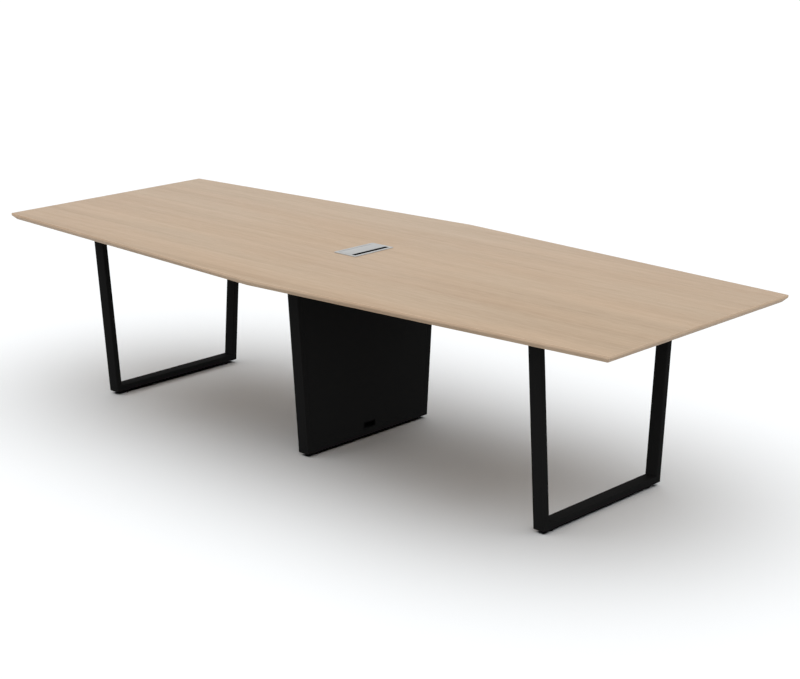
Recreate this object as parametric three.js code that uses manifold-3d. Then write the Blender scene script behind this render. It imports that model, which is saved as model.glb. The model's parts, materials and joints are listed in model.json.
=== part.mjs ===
// A conference table: a six-sided top on two loop legs and a cable pedestal, with a brushed cable port.
// Millimetres. +X runs along the length, +Y across, +Z up; the origin is on the floor under the middle.

import * as THREE from 'three';
import { mergeVertices } from 'three/addons/utils/BufferGeometryUtils.js';
import Module from 'manifold-3d';

const wasm = await Module();
wasm.setup();

// Table top: a board with an upright lip, cut back underneath, and a band glued round its edge.
const TABLE_HEIGHT = 725;
const TOP_LENGTH = 3000;
const TOP_WIDTH_MIDDLE = 1200;
const TOP_WIDTH_ENDS = 1000;
const TOP_THICKNESS = 25;
const EDGE_LIP = 9;
const EDGE_BEVEL = 16;
const EDGE_BAND = 1;
const GLUE_LINE = 0.2;
const BAND_JOINT = 0.1;

// Loops of rectangular tube, wider at the top than at the foot.
const END_OVERHANG = 390;
const LOOP_WIDTH_TOP = 750;
const LOOP_WIDTH_FOOT = 650;
const FLOOR_GAP = 12;
const TUBE_WIDTH = 50;
const TUBE_DEPTH = 25;
const TUBE_WALL = 2;
const WELD_GAP = 0.2;
const SEAT_GAP = 0.3;

// Flat lugs that screw the loops to the top.
const LUG_EAR = 40;
const LUG_WIDTH = 40;
const LUG_THICKNESS = 4;
const LUG_INSET = 125;
const LUG_HOLE = 6;

// Beams under the top, between the loops and the pedestal.
const BEAM_INSET = 195;
const BEAM_WIDTH = 40;
const BEAM_DEPTH = 20;
const BEAM_WALL = 2;
const BEAM_VENT = 10;
const FLANGE_EAR = 15;
const FLANGE_THICKNESS = 4;
const FLANGE_HOLE = 7;

// Levelling feet.
const FOOT_INSET = 51;
const PAD_DIAMETER = 30;
const PAD_HEIGHT = 6;
const PAD_CHAMFER = 1.5;
const PAD_FLOOR = 2.5;
const STUD_DIAMETER = 8;
const STUD_HEADROOM = 3;
const COLLAR_DIAMETER = 13;
const INSERT_DIAMETER = 12;
const INSERT_DEPTH = 15;
const INSERT_FLANGE_DIAMETER = 18;
const INSERT_FLANGE = 1.5;

// Sheet covers of the pedestal; the rear one lifts off four hanger pins.
const COVER_SHEET = 1.5;
const COVER_FLANGE = 12;
const COVER_LIFT = 10;
const COVER_CLEARANCE = 3;
const HANGER_DIAMETER = 6;
const HANGER_LENGTH = 8;
const HANGER_SETBACK = 7.5;
const HANGER_LOW = 150;
const HANGER_HIGH = 560;

// Cable outlet at the foot of the front cover.
const OUTLET_WIDTH = 58;
const OUTLET_HEIGHT = 22;
const OUTLET_RADIUS = 3;
const OUTLET_LIFT = 16;
const BEZEL_WALL = 1.5;
const BEZEL_LIP = 3;
const BEZEL_PROUD = 1.5;
const BEZEL_DEPTH = 6;
const BEZEL_FIT = 0.5;

// Cable port in the middle of the top.
const PORT_WIDTH = 110;
const PORT_LENGTH = 205;
const PORT_PROUD = 2.6;
const PORT_RADIUS = 5;
const RIM_WIDTH = 12;
const COLLAR_WALL = 4;
const COLLAR_DEPTH = 18;
const CUTOUT_CLEARANCE = 1;
const LEDGE_WIDTH = 4;
const LEDGE_DEPTH = 6;

// Lid of the port, with its barrel and pin.
const LID_THICKNESS = 2.5;
const LID_END_GAP = 0.5;
const BARREL_RADIUS = 3.5;
const HINGE_GAP = 1.3;
const PIN_DIAMETER = 3;

// Brush along the lid's free edge.
const BRUSH_WIDTH = 20;
const BRUSH_RECESS = 0.6;
const SPINE_WIDTH = 4.5;
const SPINE_HEIGHT = 4.4;
const SPINE_END_GAP = 1.5;
const STRAND_ROWS = 2;
const STRANDS_PER_ROW = 150;
const STRAND_RADIUS = 0.5;
const STRAND_ROW_SPACING = 1.7;
const STRAND_ROOT = 1;
const STRAND_TIP_GAP = 0.6;

// Cable well hung under the cut-out.
const WELL_DEPTH = 60;
const WELL_WALL = 1.2;
const WELL_FLANGE = 14;
const WELL_OUTLET_WIDTH = 40;
const WELL_OUTLET_LENGTH = 120;

// Fineness of the round pieces.
const ROUND_SIDES = 12;
const BARREL_SIDES = 20;
const CORNER_STEPS = 3;
const OVERCUT = 1;
const SAME_POINT = 1e-4;

// Levels and places that follow from the sizes above.
const UNDERSIDE = TABLE_HEIGHT - TOP_THICKNESS;
const LIP_BOTTOM = TABLE_HEIGHT - EDGE_LIP;
const LOOP_SPACING = TOP_LENGTH - 2 * END_OVERHANG;
const LOOP_TOP = UNDERSIDE - LUG_THICKNESS;
const BAR_TOP = FLOOR_GAP + TUBE_DEPTH;
const STUB_BOTTOM = LOOP_TOP - TUBE_DEPTH;
const TUBE_FACE = TUBE_WIDTH / 2;
const SPLAY = (LOOP_WIDTH_TOP - LOOP_WIDTH_FOOT) / 2 / (UNDERSIDE - FLOOR_GAP);
const TILT = Math.atan(SPLAY);
const FOOT_PLACE = LOOP_WIDTH_FOOT / 2 - FOOT_INSET;
const LUG_PLACE = LOOP_WIDTH_TOP / 2 - LUG_INSET;
const BEAM_PLACE = LOOP_WIDTH_TOP / 2 - BEAM_INSET;
const PORT_TOP = TABLE_HEIGHT + PORT_PROUD;
const OPENING_WIDTH = PORT_WIDTH - 2 * RIM_WIDTH;
const OPENING_LENGTH = PORT_LENGTH - 2 * RIM_WIDTH;
const COLLAR_WIDTH = OPENING_WIDTH + 2 * COLLAR_WALL;
const COLLAR_LENGTH = OPENING_LENGTH + 2 * COLLAR_WALL;
const CUTOUT_WIDTH = COLLAR_WIDTH + 2 * CUTOUT_CLEARANCE;
const CUTOUT_LENGTH = COLLAR_LENGTH + 2 * CUTOUT_CLEARANCE;
const HINGE_X = HINGE_GAP + BARREL_RADIUS - OPENING_WIDTH / 2;
const HINGE_Z = PORT_TOP - BARREL_RADIUS;
const LID_EDGE = OPENING_WIDTH / 2 - BRUSH_WIDTH;
const LID_UNDERSIDE = PORT_TOP - LID_THICKNESS;
const SPINE_FACE = OPENING_WIDTH / 2 - SEAT_GAP - SPINE_WIDTH;
const SPINE_TOP = PORT_TOP - BRUSH_RECESS;
const SPINE_BOTTOM = SPINE_TOP - SPINE_HEIGHT;
const WELL_WIDTH = CUTOUT_WIDTH + 2 * WELL_WALL;
const WELL_LENGTH = CUTOUT_LENGTH + 2 * WELL_WALL;
const WELL_BOTTOM = UNDERSIDE - WELL_DEPTH;
const STUB_END = WELL_LENGTH / 2 + WELL_FLANGE + COVER_CLEARANCE;
const NOTCH_HALF = WELL_LENGTH / 2 + COVER_CLEARANCE;
const NOTCH_BOTTOM = WELL_BOTTOM - COVER_LIFT - COVER_CLEARANCE;

// Finishes.
const BOARD = { color: 0xc4b09a, roughness: 0.5, metalness: 0 };
const BAND = { color: 0xbca792, roughness: 0.5, metalness: 0 };
const BLACK_STEEL = { color: 0x1b1b1c, roughness: 0.55, metalness: 0.1 };
const BLACK_PLASTIC = { color: 0x141414, roughness: 0.6, metalness: 0 };
const ZINC_STEEL = { color: 0xa8abad, roughness: 0.35, metalness: 1 };
const SATIN_ALUMINIUM = { color: 0xc8cbcc, roughness: 0.4, metalness: 1 };
const BRUSH_FIBRE = { color: 0x0c0c0c, roughness: 0.9, metalness: 0 };

const X_AXIS = new THREE.Vector3(1, 0, 0);
const Y_AXIS = new THREE.Vector3(0, 1, 0);
const Z_AXIS = new THREE.Vector3(0, 0, 1);
const SIDES = [['near', -1], ['far', 1]];

/** Adds a named piece with its own finish to a group. */
function addPiece(group, name, geometry, finish) {
  const piece = new THREE.Mesh(geometry, new THREE.MeshStandardMaterial(finish));
  piece.name = name;
  group.add(piece);
}

/** Turns a closed geometry into a solid that can be joined and cut. */
function solidOf(geometry) {
  geometry.deleteAttribute('normal');
  geometry.deleteAttribute('uv');
  const merged = mergeVertices(geometry, SAME_POINT);
  const vertProperties = Float32Array.from(merged.attributes.position.array);
  const triVerts = Uint32Array.from(merged.index.array);
  return new wasm.Manifold(new wasm.Mesh({ numProp: 3, vertProperties, triVerts }));
}

/** Turns a solid back into a geometry. */
function geometryOf(solid) {
  const mesh = solid.getMesh();
  const geometry = new THREE.BufferGeometry();
  geometry.setAttribute('position', new THREE.BufferAttribute(mesh.vertProperties, 3));
  geometry.setIndex(new THREE.BufferAttribute(mesh.triVerts, 1));
  geometry.computeVertexNormals();
  return geometry;
}

/** Joins geometries into one solid. */
function join(...geometries) {
  return geometries.map(solidOf).reduce((whole, next) => whole.add(next));
}

/** Cuts geometries out of a solid. */
function cut(solid, ...geometries) {
  return geometries.map(solidOf).reduce((whole, next) => whole.subtract(next), solid);
}

/** A box between two values on each axis. */
function boxBetween([x0, x1], [y0, y1], [z0, z1]) {
  const box = new THREE.BoxGeometry(x1 - x0, y1 - y0, z1 - z0);
  box.translate((x0 + x1) / 2, (y0 + y1) / 2, (z0 + z1) / 2);
  return box;
}

/** The span of a width centred on a value. */
function span(width, centre = 0) {
  return [centre - width / 2, centre + width / 2];
}

/** A flat outline through points. */
function outlineOf(points) {
  return new THREE.Shape(points.map(([u, v]) => new THREE.Vector2(u, v)));
}

/** A rectangle with round corners, centred on the origin. */
function roundedRectangle(width, height, radius) {
  const u = width / 2 - radius;
  const v = height / 2 - radius;
  const shape = new THREE.Shape();
  shape.absarc(u, v, radius, 0, Math.PI / 2);
  shape.absarc(-u, v, radius, Math.PI / 2, Math.PI);
  shape.absarc(-u, -v, radius, Math.PI, Math.PI * 1.5);
  shape.absarc(u, -v, radius, Math.PI * 1.5, Math.PI * 2);
  return shape;
}

/** Extrudes a shape between two levels along an axis; u and v are the axes that the shape lies on. */
function extrudeOn(shape, [start, end], u, v, curveSegments) {
  const options = { depth: end - start, bevelEnabled: false, curveSegments };
  const geometry = new THREE.ExtrudeGeometry(shape, options);
  const along = new THREE.Vector3().crossVectors(u, v);
  geometry.translate(0, 0, start);
  geometry.applyMatrix4(new THREE.Matrix4().makeBasis(u, v, along));
  return geometry;
}

/** A shape drawn on X and Y, extruded upwards. */
function extrudeUp(shape, levels) {
  return extrudeOn(shape, levels, X_AXIS, Y_AXIS, CORNER_STEPS);
}

/** A shape drawn on Y and Z, extruded along the table. */
function extrudeAlong(shape, places) {
  return extrudeOn(shape, places, Y_AXIS, Z_AXIS, CORNER_STEPS);
}

/** A round bar along an axis, from a start point. */
function roundBar(diameter, length, start, axis, sides = ROUND_SIDES) {
  const bar = new THREE.CylinderGeometry(diameter / 2, diameter / 2, length, sides);
  bar.translate(0, length / 2, 0);
  bar.applyQuaternion(new THREE.Quaternion().setFromUnitVectors(Y_AXIS, axis));
  bar.translate(start.x, start.y, start.z);
  return bar;
}

/** A turned piece on an upright axis; the profile holds radius and height, from the bottom up. */
function turned(profile) {
  const points = profile.map(([radius, height]) => new THREE.Vector2(radius, height));
  const geometry = new THREE.LatheGeometry(points, ROUND_SIDES);
  geometry.rotateX(Math.PI / 2);
  return geometry;
}

/** A closed skin over rings of points, with flat ends that both follow one outline. */
function loft(rings, endOutline) {
  const count = endOutline.length;
  const endFaces = THREE.ShapeUtils.triangulateShape(endOutline, []);
  const last = (rings.length - 1) * count;
  const faces = [];
  for (const [a, b, c] of endFaces) {
    faces.push(a, c, b);
    faces.push(last + a, last + b, last + c);
  }
  for (let ring = 0; ring < rings.length - 1; ring += 1) {
    for (let i = 0; i < count; i += 1) {
      const a = ring * count + i;
      const b = ring * count + ((i + 1) % count);
      faces.push(a, b, b + count);
      faces.push(a, b + count, a + count);
    }
  }
  const geometry = new THREE.BufferGeometry().setFromPoints(rings.flat());
  geometry.setIndex(faces);
  geometry.computeVertexNormals();
  return geometry;
}

/** The point where two lines meet, each given by a point and a direction. */
function meet(first, second) {
  const between = second.point.clone().sub(first.point);
  const reach = between.cross(second.direction) / first.direction.cross(second.direction);
  return first.point.clone().addScaledVector(first.direction, reach);
}

/** The corners of an outline moved inwards; the outline runs anticlockwise. */
function insetCorners(outline, inset) {
  const count = outline.length;
  const lines = outline.map((corner, i) => {
    const direction = outline[(i + 1) % count].clone().sub(corner).normalize();
    const inwards = new THREE.Vector2(-direction.y, direction.x);
    return { point: corner.clone().addScaledVector(inwards, inset), direction };
  });
  return lines.map((line, i) => meet(lines[(i + count - 1) % count], line));
}

// The six corners of the top, anticlockwise from the near left one.
const TOP_OUTLINE = [
  [-TOP_LENGTH / 2, -TOP_WIDTH_ENDS / 2],
  [0, -TOP_WIDTH_MIDDLE / 2],
  [TOP_LENGTH / 2, -TOP_WIDTH_ENDS / 2],
  [TOP_LENGTH / 2, TOP_WIDTH_ENDS / 2],
  [0, TOP_WIDTH_MIDDLE / 2],
  [-TOP_LENGTH / 2, TOP_WIDTH_ENDS / 2],
].map(([x, y]) => new THREE.Vector2(x, y));

const BAND_NAMES = ['near_left', 'near_right', 'right_end', 'far_right', 'far_left', 'left_end'];

/** Edge profile under a skin of some thickness: inset and level, from the top down. */
function edgeProfile(skin) {
  const drop = LIP_BOTTOM - UNDERSIDE;
  const slope = Math.hypot(EDGE_BEVEL, drop);
  return [
    [skin, TABLE_HEIGHT],
    [skin, LIP_BOTTOM + (skin * (slope - drop)) / EDGE_BEVEL],
    [EDGE_BEVEL + (skin * slope) / drop, UNDERSIDE],
  ];
}

/** The board, with the cut-out for the cable port. */
function topPanel() {
  const rings = edgeProfile(EDGE_BAND + GLUE_LINE).reverse().map(([inset, level]) => (
    insetCorners(TOP_OUTLINE, inset).map((corner) => new THREE.Vector3(corner.x, corner.y, level))
  ));
  const cutOut = roundedRectangle(CUTOUT_WIDTH, CUTOUT_LENGTH, PORT_RADIUS);
  const board = solidOf(loft(rings, TOP_OUTLINE));
  return geometryOf(cut(board, extrudeUp(cutOut, [UNDERSIDE - OVERCUT, TABLE_HEIGHT + OVERCUT])));
}

/** One strip of the edge band, mitred at both ends. */
function edgeBand(side) {
  const next = (side + 1) % TOP_OUTLINE.length;
  const run = TOP_OUTLINE[next].clone().sub(TOP_OUTLINE[side]).normalize();
  const profile = [...edgeProfile(0), ...edgeProfile(EDGE_BAND).reverse()];
  const endRing = (corner, shift) => profile.map(([inset, level]) => {
    const point = insetCorners(TOP_OUTLINE, inset)[corner].addScaledVector(run, shift);
    return new THREE.Vector3(point.x, point.y, level);
  });
  const endOutline = profile.map(([inset, level]) => new THREE.Vector2(inset, level));
  return loft([endRing(side, BAND_JOINT), endRing(next, -BAND_JOINT)], endOutline);
}

/** Half the outer width of a loop at a level. */
function loopHalf(level) {
  return LOOP_WIDTH_FOOT / 2 + SPLAY * (level - FLOOR_GAP);
}

/** Half the clear width between a loop's legs at a level. */
function clearHalf(level) {
  return loopHalf(level) - TUBE_DEPTH / Math.cos(TILT);
}

// The outside of a loop on Y and Z, anticlockwise from the near foot.
const LOOP_OUTLINE = [
  [-loopHalf(FLOOR_GAP), FLOOR_GAP],
  [loopHalf(FLOOR_GAP), FLOOR_GAP],
  [loopHalf(LOOP_TOP), LOOP_TOP],
  [-loopHalf(LOOP_TOP), LOOP_TOP],
].map(([y, z]) => new THREE.Vector2(y, z));

// The tubes of a loop, in the order of that outline's sides.
const LOOP_TUBES = ['foot_bar', 'far_leg', 'top_bar', 'near_leg'];

/** A strip of the loop's plane along one tube, between two insets, moved out or in at its ends. */
function loopStrip(tube, outerInset, innerInset, endShift) {
  const side = LOOP_TUBES.indexOf(tube);
  const next = (side + 1) % LOOP_OUTLINE.length;
  const run = LOOP_OUTLINE[next].clone().sub(LOOP_OUTLINE[side]).normalize();
  const outer = insetCorners(LOOP_OUTLINE, outerInset);
  const inner = insetCorners(LOOP_OUTLINE, innerInset);
  return new THREE.Shape([
    outer[side].addScaledVector(run, -endShift),
    outer[next].addScaledVector(run, endShift),
    inner[next].addScaledVector(run, endShift),
    inner[side].addScaledVector(run, -endShift),
  ]);
}

/** One mitred tube of a loop, open at both ends. */
function loopTube(tube) {
  const skin = extrudeAlong(loopStrip(tube, 0, TUBE_DEPTH, -WELD_GAP), span(TUBE_WIDTH));
  const boreStrip = loopStrip(tube, TUBE_WALL, TUBE_DEPTH - TUBE_WALL, TUBE_DEPTH);
  return cut(solidOf(skin), extrudeAlong(boreStrip, span(TUBE_WIDTH - 2 * TUBE_WALL)));
}

/** The foot bar, with holes in its lower wall for the inserts. */
function footBar() {
  const holes = SIDES.map(([, sign]) => {
    const start = new THREE.Vector3(0, sign * FOOT_PLACE, FLOOR_GAP - OVERCUT);
    return roundBar(INSERT_DIAMETER + 2 * SEAT_GAP, TUBE_WALL + 2 * OVERCUT, start, Z_AXIS);
  });
  return geometryOf(cut(loopTube('foot_bar'), ...holes));
}

/** The near or far part of the pedestal's top bar, clear of the cable well. */
function topStub(sign) {
  const keep = span(LOOP_WIDTH_TOP, sign * (STUB_END + LOOP_WIDTH_TOP / 2));
  const half = solidOf(boxBetween(span(TUBE_WIDTH + OVERCUT), keep, [STUB_BOTTOM - OVERCUT, UNDERSIDE]));
  return geometryOf(loopTube('top_bar').intersect(half));
}

/** A lug across the top bar, with a screw hole in each ear. */
function fixingLug(sign) {
  const place = sign * LUG_PLACE;
  const levels = [LOOP_TOP, UNDERSIDE];
  const plate = solidOf(boxBetween(span(TUBE_WIDTH + 2 * LUG_EAR), span(LUG_WIDTH, place), levels));
  const holes = span(TUBE_WIDTH + LUG_EAR).map((x) => {
    const start = new THREE.Vector3(x, place, LOOP_TOP - OVERCUT);
    return roundBar(LUG_HOLE, LUG_THICKNESS + 2 * OVERCUT, start, Z_AXIS);
  });
  return geometryOf(cut(plate, ...holes));
}

/** A levelling foot: the pad, the stud with its collar, and the insert that it screws into. */
function addFoot(group, name, place) {
  const foot = new THREE.Group();
  foot.position.y = place;
  group.add(foot);
  const padRadius = PAD_DIAMETER / 2;
  const studRadius = STUD_DIAMETER / 2;
  const collarRadius = COLLAR_DIAMETER / 2;
  const socketRadius = studRadius + SEAT_GAP;
  const collarBottom = PAD_HEIGHT + SEAT_GAP;
  const collarTop = FLOOR_GAP - INSERT_FLANGE - SEAT_GAP;
  const studTop = BAR_TOP - TUBE_WALL - STUD_HEADROOM;
  const pad = [
    [0, 0],
    [padRadius - PAD_CHAMFER / 2, 0],
    [padRadius, PAD_CHAMFER / 2],
    [padRadius, PAD_HEIGHT - PAD_CHAMFER],
    [padRadius - PAD_CHAMFER, PAD_HEIGHT],
    [socketRadius, PAD_HEIGHT],
    [socketRadius, PAD_FLOOR],
    [0, PAD_FLOOR],
  ];
  const stud = [
    [0, PAD_FLOOR + SEAT_GAP],
    [studRadius, PAD_FLOOR + SEAT_GAP],
    [studRadius, collarBottom],
    [collarRadius, collarBottom],
    [collarRadius, collarTop],
    [studRadius, collarTop],
    [studRadius, studTop],
    [0, studTop],
  ];
  const insert = [
    [socketRadius, FLOOR_GAP - INSERT_FLANGE],
    [INSERT_FLANGE_DIAMETER / 2, FLOOR_GAP - INSERT_FLANGE],
    [INSERT_FLANGE_DIAMETER / 2, FLOOR_GAP],
    [INSERT_DIAMETER / 2, FLOOR_GAP],
    [INSERT_DIAMETER / 2, FLOOR_GAP + INSERT_DEPTH],
    [socketRadius, FLOOR_GAP + INSERT_DEPTH],
    [socketRadius, FLOOR_GAP - INSERT_FLANGE],
  ];
  addPiece(foot, `${name}_foot_pad`, turned(pad), BLACK_PLASTIC);
  addPiece(foot, `${name}_foot_stud`, turned(stud), ZINC_STEEL);
  addPiece(foot, `${name}_foot_insert`, turned(insert), ZINC_STEEL);
}

/** The legs, foot bar, lugs and feet that the loops and the pedestal share. */
function addLoop(group, name, legName) {
  addPiece(group, `${name}_near_${legName}`, geometryOf(loopTube('near_leg')), BLACK_STEEL);
  addPiece(group, `${name}_far_${legName}`, geometryOf(loopTube('far_leg')), BLACK_STEEL);
  addPiece(group, `${name}_foot_bar`, footBar(), BLACK_STEEL);
  for (const [side, sign] of SIDES) {
    addPiece(group, `${name}_${side}_lug`, fixingLug(sign), BLACK_STEEL);
    addFoot(group, `${name}_${side}`, sign * FOOT_PLACE);
  }
}

/** A pedestal cover: a sheet between the posts, notched for the well, with a flange down each side. */
function coverSolid(sign, topLevel) {
  const bottomLevel = BAR_TOP + SEAT_GAP;
  const half = (level) => clearHalf(level) - SEAT_GAP / Math.cos(TILT);
  const flangeHalf = (level) => half(level) - COVER_SHEET / Math.cos(TILT);
  const sheet = outlineOf([
    [-half(bottomLevel), bottomLevel],
    [half(bottomLevel), bottomLevel],
    [half(topLevel), topLevel],
    [NOTCH_HALF, topLevel],
    [NOTCH_HALF, NOTCH_BOTTOM],
    [-NOTCH_HALF, NOTCH_BOTTOM],
    [-NOTCH_HALF, topLevel],
    [-half(topLevel), topLevel],
  ]);
  const inwards = (depth) => [sign * TUBE_FACE, sign * (TUBE_FACE - depth)].sort((a, b) => a - b);
  const flanges = SIDES.map(([, side]) => outlineOf([
    [side * half(bottomLevel), bottomLevel],
    [side * half(topLevel), topLevel],
    [side * flangeHalf(topLevel), topLevel],
    [side * flangeHalf(bottomLevel), bottomLevel],
  ]));
  const folded = flanges.map((flange) => extrudeAlong(flange, inwards(COVER_FLANGE)));
  return join(extrudeAlong(sheet, inwards(COVER_SHEET)), ...folded);
}

const OUTLET_LEVEL = BAR_TOP + OUTLET_LIFT;

/** A rounded hole or tube wall for the cable outlet, wider than the clear outlet by a margin all round. */
function outletBlock(margin, places) {
  const width = OUTLET_WIDTH + 2 * margin;
  const height = OUTLET_HEIGHT + 2 * margin;
  const block = extrudeAlong(roundedRectangle(width, height, OUTLET_RADIUS), places);
  block.translate(0, 0, OUTLET_LEVEL);
  return block;
}

/** The front cover, with the hole for the outlet bezel. */
function frontCover() {
  const hole = outletBlock(BEZEL_WALL + BEZEL_FIT, span(2 * COVER_FLANGE, TUBE_FACE));
  return geometryOf(cut(coverSolid(1, STUB_BOTTOM - SEAT_GAP), hole));
}

/** The bezel that lines the cable outlet. */
function outletBezel() {
  const lip = outletBlock(BEZEL_LIP, [TUBE_FACE, TUBE_FACE + BEZEL_PROUD]);
  const sleeve = outletBlock(BEZEL_WALL, [TUBE_FACE - BEZEL_DEPTH, TUBE_FACE + BEZEL_PROUD]);
  return geometryOf(cut(join(lip, sleeve), outletBlock(0, span(4 * BEZEL_DEPTH, TUBE_FACE))));
}

const HANGER_X = HANGER_SETBACK - TUBE_FACE;

/** The rear cover; an angled slot in each flange drops over each hanger pin. */
function rearCover() {
  const reach = HANGER_DIAMETER / 2 + SEAT_GAP;
  const across = span(LOOP_WIDTH_TOP + LOOP_WIDTH_FOOT);
  const mouth = [HANGER_X - reach, COVER_FLANGE + OVERCUT - TUBE_FACE];
  const slots = [HANGER_LOW, HANGER_HIGH].flatMap((level) => [
    boxBetween([HANGER_X - reach, HANGER_X + reach], across, [level - COVER_LIFT - reach, level + reach]),
    boxBetween(mouth, across, [level - COVER_LIFT - reach, level - COVER_LIFT + reach]),
  ]);
  return geometryOf(cut(coverSolid(-1, STUB_BOTTOM - COVER_LIFT - COVER_CLEARANCE), ...slots));
}

/** A hanger pin, square to the inner face of its post. */
function addHanger(group, name, sign, level) {
  const seat = new THREE.Group();
  seat.position.set(HANGER_X, sign * clearHalf(level), level);
  seat.rotation.x = -sign * TILT;
  group.add(seat);
  const start = new THREE.Vector3(0, -sign * SEAT_GAP, 0);
  const inwards = new THREE.Vector3(0, -sign, 0);
  addPiece(seat, name, roundBar(HANGER_DIAMETER, HANGER_LENGTH, start, inwards), ZINC_STEEL);
}

/** A beam with a bolted flange at each end, from the pedestal to a loop. */
function beam(sideX, sideY) {
  const start = TUBE_FACE + SEAT_GAP;
  const end = LOOP_SPACING / 2 - TUBE_FACE - SEAT_GAP;
  const middle = (start + end) / 2;
  const place = sideY * BEAM_PLACE;
  const tubeLevels = [LOOP_TOP - BEAM_DEPTH, LOOP_TOP];
  const boreLevels = [LOOP_TOP - BEAM_DEPTH + BEAM_WALL, LOOP_TOP - BEAM_WALL];
  const flangeLevels = [STUB_BOTTOM, LOOP_TOP];
  const boreEnds = [start + FLANGE_THICKNESS, end - FLANGE_THICKNESS];
  const flangeSpan = span(BEAM_WIDTH + 2 * FLANGE_EAR, place);
  const whole = join(
    boxBetween([start, end], span(BEAM_WIDTH, place), tubeLevels),
    boxBetween([start, start + FLANGE_THICKNESS], flangeSpan, flangeLevels),
    boxBetween([end - FLANGE_THICKNESS, end], flangeSpan, flangeLevels),
  );
  const bore = boxBetween(boreEnds, span(BEAM_WIDTH - 2 * BEAM_WALL, place), boreLevels);
  const through = (diameter, y, z) => {
    const from = new THREE.Vector3(start - OVERCUT, y, z);
    return roundBar(diameter, end - start + 2 * OVERCUT, from, X_AXIS);
  };
  const vent = through(BEAM_VENT, place, LOOP_TOP - BEAM_DEPTH / 2);
  const boltLevel = LOOP_TOP - TUBE_DEPTH / 2;
  const bolts = span(BEAM_WIDTH + FLANGE_EAR, place).map((y) => through(FLANGE_HOLE, y, boltLevel));
  const geometry = geometryOf(cut(whole, bore, vent, ...bolts));
  geometry.translate(-middle, 0, 0);
  geometry.rotateZ(sideX > 0 ? 0 : Math.PI);
  geometry.translate(sideX * middle, sideX > 0 ? 0 : 2 * place, 0);
  return geometry;
}

/** The port's frame: rim, collar through the board, ledges for the lid and a shelf for the brush. */
function portFrame() {
  const collarLevels = [TABLE_HEIGHT - COLLAR_DEPTH, PORT_TOP];
  const rim = extrudeUp(roundedRectangle(PORT_WIDTH, PORT_LENGTH, PORT_RADIUS), [TABLE_HEIGHT, PORT_TOP]);
  const collar = extrudeUp(roundedRectangle(COLLAR_WIDTH, COLLAR_LENGTH, COLLAR_WALL), collarLevels);
  const opening = boxBetween(
    span(OPENING_WIDTH),
    span(OPENING_LENGTH),
    [TABLE_HEIGHT - COLLAR_DEPTH - OVERCUT, PORT_TOP + OVERCUT],
  );
  const inWall = COLLAR_WALL / 2;
  const ledgeTop = LID_UNDERSIDE - SEAT_GAP;
  const ledgeStart = HINGE_X + BARREL_RADIUS + HINGE_GAP;
  const ledges = SIDES.map(([, sign]) => boxBetween(
    [ledgeStart, LID_EDGE],
    span(LEDGE_WIDTH + inWall, (sign * (OPENING_LENGTH - LEDGE_WIDTH + inWall)) / 2),
    [ledgeTop - LEDGE_DEPTH, ledgeTop],
  ));
  const shelf = boxBetween(
    [SPINE_FACE, OPENING_WIDTH / 2 + inWall],
    span(OPENING_LENGTH + inWall),
    [TABLE_HEIGHT - COLLAR_DEPTH, SPINE_BOTTOM - SEAT_GAP],
  );
  const pinHole = hingeBar(PIN_DIAMETER + 2 * SEAT_GAP, COLLAR_LENGTH + OVERCUT);
  const ring = cut(join(rim, collar), opening);
  return geometryOf(cut(ring.add(join(...ledges, shelf)), pinHole));
}

/** A round bar on the lid's hinge axis, centred on the port. */
function hingeBar(diameter, length) {
  return roundBar(diameter, length, new THREE.Vector3(HINGE_X, -length / 2, HINGE_Z), Y_AXIS, BARREL_SIDES);
}

/** The lid: a plate that runs into a barrel round the hinge pin. */
function portLid() {
  const reach = LID_EDGE - HINGE_X;
  const plateBottom = BARREL_RADIUS - LID_THICKNESS;
  const profile = new THREE.Shape();
  profile.moveTo(reach, BARREL_RADIUS);
  profile.absarc(0, 0, BARREL_RADIUS, Math.PI / 2, 2 * Math.PI + Math.asin(plateBottom / BARREL_RADIUS));
  profile.lineTo(reach, plateBottom);
  profile.closePath();
  const length = OPENING_LENGTH - 2 * LID_END_GAP;
  const plate = extrudeOn(profile, span(length), X_AXIS, Z_AXIS, BARREL_SIDES);
  plate.translate(HINGE_X, 0, HINGE_Z);
  return geometryOf(cut(solidOf(plate), hingeBar(PIN_DIAMETER + 2 * SEAT_GAP, OPENING_LENGTH)));
}

/** The brush: rows of strands that grow out of a slice of its spine towards the lid. */
function portBrush() {
  const spineLength = OPENING_LENGTH - 2 * SPINE_END_GAP;
  const spineEnds = [SPINE_FACE, SPINE_FACE + SPINE_WIDTH];
  const pitch = spineLength / (STRANDS_PER_ROW + 1);
  const strandEnds = [LID_EDGE + STRAND_TIP_GAP, SPINE_FACE + STRAND_ROOT];
  const middle = (SPINE_TOP + SPINE_BOTTOM) / 2;
  const strands = [];
  for (let row = 0; row < STRAND_ROWS; row += 1) {
    const level = middle + (row - (STRAND_ROWS - 1) / 2) * STRAND_ROW_SPACING;
    for (let i = 0; i < STRANDS_PER_ROW; i += 1) {
      const place = (i + 0.75 + row / STRAND_ROWS) * pitch - spineLength / 2;
      const corners = [0, 1, 2].map((corner) => {
        const angle = Math.PI / 2 + (corner * 2 * Math.PI) / 3;
        return [place + STRAND_RADIUS * Math.cos(angle), level + STRAND_RADIUS * Math.sin(angle)];
      });
      strands.push(extrudeAlong(outlineOf(corners), strandEnds));
    }
  }
  const spine = boxBetween(spineEnds, span(spineLength), [SPINE_BOTTOM, SPINE_TOP]);
  return geometryOf(join(spine, ...strands));
}

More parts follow.
